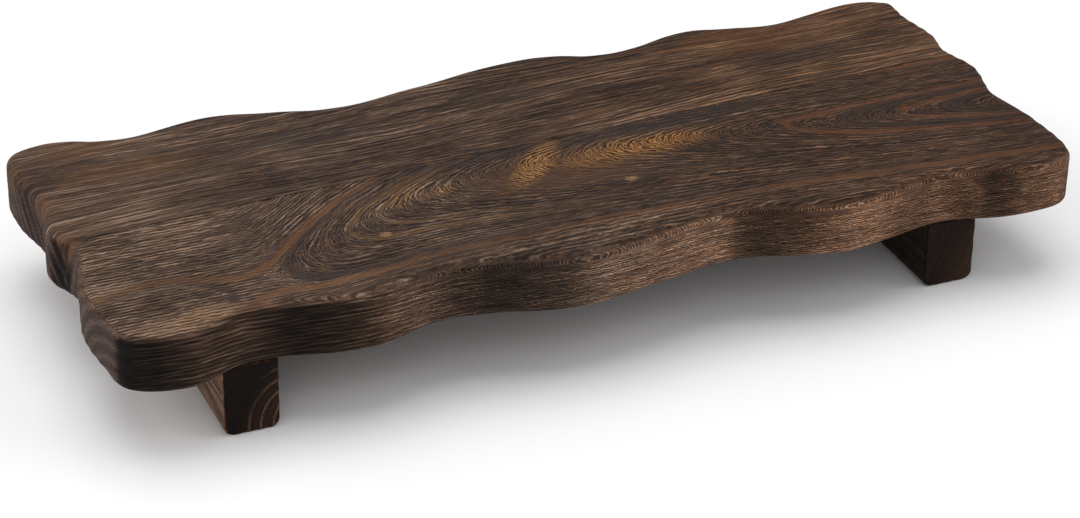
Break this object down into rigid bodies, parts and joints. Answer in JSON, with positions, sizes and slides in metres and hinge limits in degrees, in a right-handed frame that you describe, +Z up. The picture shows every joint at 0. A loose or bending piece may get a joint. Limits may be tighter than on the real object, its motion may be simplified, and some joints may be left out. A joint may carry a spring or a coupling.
{
  "type": "wooden riser",
  "caption": "Low wooden display riser: a thick wavy-edged board, glued up from planks, standing on runner legs that are screwed on from below.",
  "frame": {"origin": "on the standing surface, under the middle of the board", "axes": "+X along the board to the right, +Y to its back, +Z up"},
  "size_m": [0.3998, 0.1647, 0.053],
  "materials": {
    "rear_plank_wood": "scorched and wire-brushed, straight grain, dull wax",
    "front_plank_wood": "scorched and wire-brushed, flame-shaped grain, dull wax",
    "leg_wood": "scorched, with brushed rings on the end grain",
    "screw_steel": "bright zinc"
  },
  "bodies": {
    "root": {"rear_plank": "rear_plank_wood", "front_plank": "front_plank_wood", "left_leg": "leg_wood", "right_leg": "leg_wood", "left_front_screw": "screw_steel", "left_rear_screw": "screw_steel", "right_front_screw": "screw_steel", "right_rear_screw": "screw_steel"}
  },
  "joints": []
}
